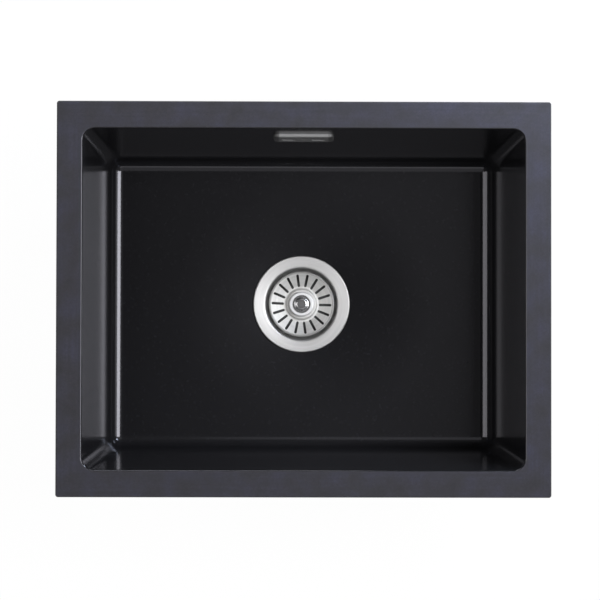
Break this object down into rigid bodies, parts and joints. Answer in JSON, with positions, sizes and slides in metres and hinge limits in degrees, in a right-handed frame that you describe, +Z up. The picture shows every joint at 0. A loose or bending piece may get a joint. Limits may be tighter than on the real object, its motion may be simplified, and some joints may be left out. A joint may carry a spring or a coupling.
{
  "type": "granite kitchen sink",
  "caption": "Rectangular single-bowl composite granite kitchen sink with a flat rim, a lift-out basket strainer waste in the floor and an overflow in the back wall.",
  "frame": {"origin": "centre of the rim's flat top face", "axes": "+Z up out of the bowl, +X along the long side, +Y to the back wall with the overflow"},
  "size_m": [0.55, 0.44, 0.292],
  "materials": {
    "granite": "satin",
    "brushed_steel": "satin",
    "bright_steel": "gloss",
    "chrome": "polished",
    "brass": "satin",
    "rubber": "matte",
    "white_plastic": "satin",
    "bush_plastic": "satin"
  },
  "bodies": {
    "sink": {"sink_bowl": "granite", "waste_cup": "brushed_steel", "overflow_cover": "brushed_steel", "clamping_screw": "bright_steel", "screw_washer": "bright_steel", "overflow_screw": "bright_steel", "rim_inserts": "brass", "screw_insert": "brass", "flange_gasket": "rubber", "waste_gasket": "rubber", "overflow_gasket": "rubber", "pipe_seal": "rubber", "pipe_cone_seal": "rubber", "waste_body": "white_plastic", "overflow_housing": "white_plastic", "overflow_pipe": "white_plastic", "pipe_nut": "white_plastic"},
    "socket": {"socket_bush": "bush_plastic", "catch_ring": "rubber"},
    "basket": {"basket_shell": "brushed_steel", "basket_seal": "rubber", "seal_retainer": "brushed_steel", "stem_nut": "bright_steel", "basket_stem": "bright_steel", "basket_knob": "chrome"}
  },
  "joints": [
    {"name": "basket_turn", "type": "hinge", "parent": "sink", "child": "socket", "pos_m": [0, 0, -0.2345], "axis": [0, 0, 1], "continuous": true},
    {"name": "basket_lift", "type": "slide", "parent": "socket", "child": "basket", "axis": [0, 0, 1], "range_m": [0, 0.26]}
  ]
}
